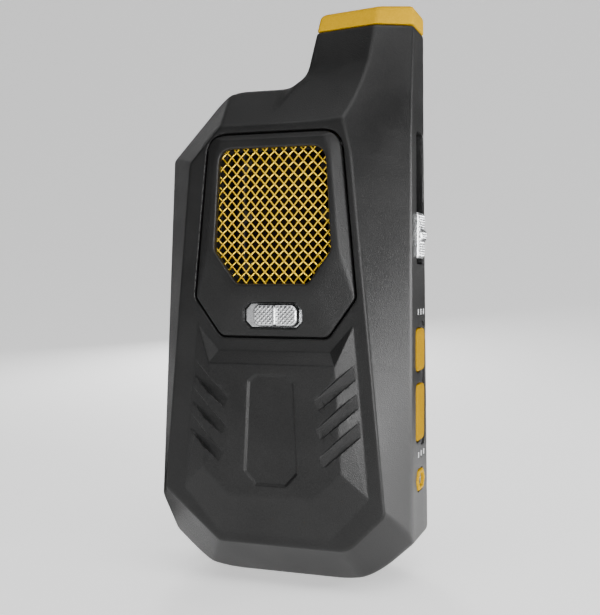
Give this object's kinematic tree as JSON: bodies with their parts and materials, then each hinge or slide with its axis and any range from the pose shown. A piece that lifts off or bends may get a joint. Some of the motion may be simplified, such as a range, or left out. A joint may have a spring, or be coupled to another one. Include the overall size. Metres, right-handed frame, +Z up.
{
  "type": "handheld insect repeller",
  "caption": "Walkie-talkie-shaped handheld unit with a latched wire-mesh door over a heated mat chamber, a side slide switch, side keys and a stub-antenna grip end.",
  "frame": {"origin": "bottom centre of the unit's bounding box, in the plane of its flat foot", "axes": "+Z up from the foot to the antenna stub, -Y out of the front face and mesh door, +X towards the side with the keys"},
  "size_m": [0.0682, 0.0384, 0.1505],
  "materials": {
    "casing": "fine moulded texture, charcoal",
    "rear": "fine moulded texture, charcoal",
    "accent": "smooth satin yellow",
    "mesh": "golden woven wire",
    "silver": "knurled satin plating",
    "steel": "plain",
    "dark": "plain black",
    "mat": "pressed fibre, brown",
    "aluminium": "rolled sheet",
    "board": "circuit board lacquer",
    "cell": "shrink sleeve",
    "light": "frosted clear plastic"
  },
  "bodies": {
    "housing": {"front_shell": "casing", "rear_cover": "rear", "antenna_cap": "accent", "strike_bar": "steel", "heater_tray": "dark", "heater_plate": "aluminium", "repellent_mat": "mat", "mat_clip_left": "steel", "mat_clip_right": "steel", "tact_switch_upper": "dark", "tact_switch_lower": "dark", "slot_liner": "dark", "slide_switch": "steel", "light_guide_upper": "light", "light_guide_lower": "light", "side_board": "board", "lanyard_bezel": "accent", "lanyard_bar": "steel", "battery_cell_left": "cell", "battery_cell_right": "cell", "battery_cradle": "dark", "main_board": "board", "control_chip": "dark", "inductor": "dark", "capacitor": "dark", "charge_socket": "steel", "charge_board": "board", "rear_screw_1": "steel", "rear_screw_2": "steel", "rear_screw_3": "steel", "rear_screw_4": "steel"},
    "door": {"door_frame": "casing", "door_mesh": "mesh", "mesh_retainer": "dark", "hinge_pin_left": "steel", "hinge_pin_right": "steel"},
    "latch": {"latch_button": "silver", "latch_hook": "steel"},
    "slider": {"slide_knob": "silver", "slide_carrier": "dark"},
    "upper_key": {"key_upper": "accent"},
    "lower_key": {"key_lower": "accent"}
  },
  "joints": [
    {"name": "door_hinge", "type": "hinge", "parent": "housing", "child": "door", "pos_m": [-0.00031, -0.01551, 0.1136], "axis": [-1, 0, 0], "range_deg": [0, 75]},
    {"name": "latch_slide", "type": "slide", "parent": "door", "child": "latch", "axis": [-1, 0, 0], "range_m": [0, 0.002], "stiffness_N_per_m": 150},
    {"name": "switch_slide", "type": "slide", "parent": "housing", "child": "slider", "axis": [0, 0, 1], "range_m": [0, 0.0195]},
    {"name": "upper_key_press", "type": "slide", "parent": "housing", "child": "upper_key", "axis": [-1, 0, 0], "range_m": [0, 0.0007], "stiffness_N_per_m": 400},
    {"name": "lower_key_press", "type": "slide", "parent": "housing", "child": "lower_key", "axis": [-1, 0, 0], "range_m": [0, 0.0007], "stiffness_N_per_m": 400}
  ]
}
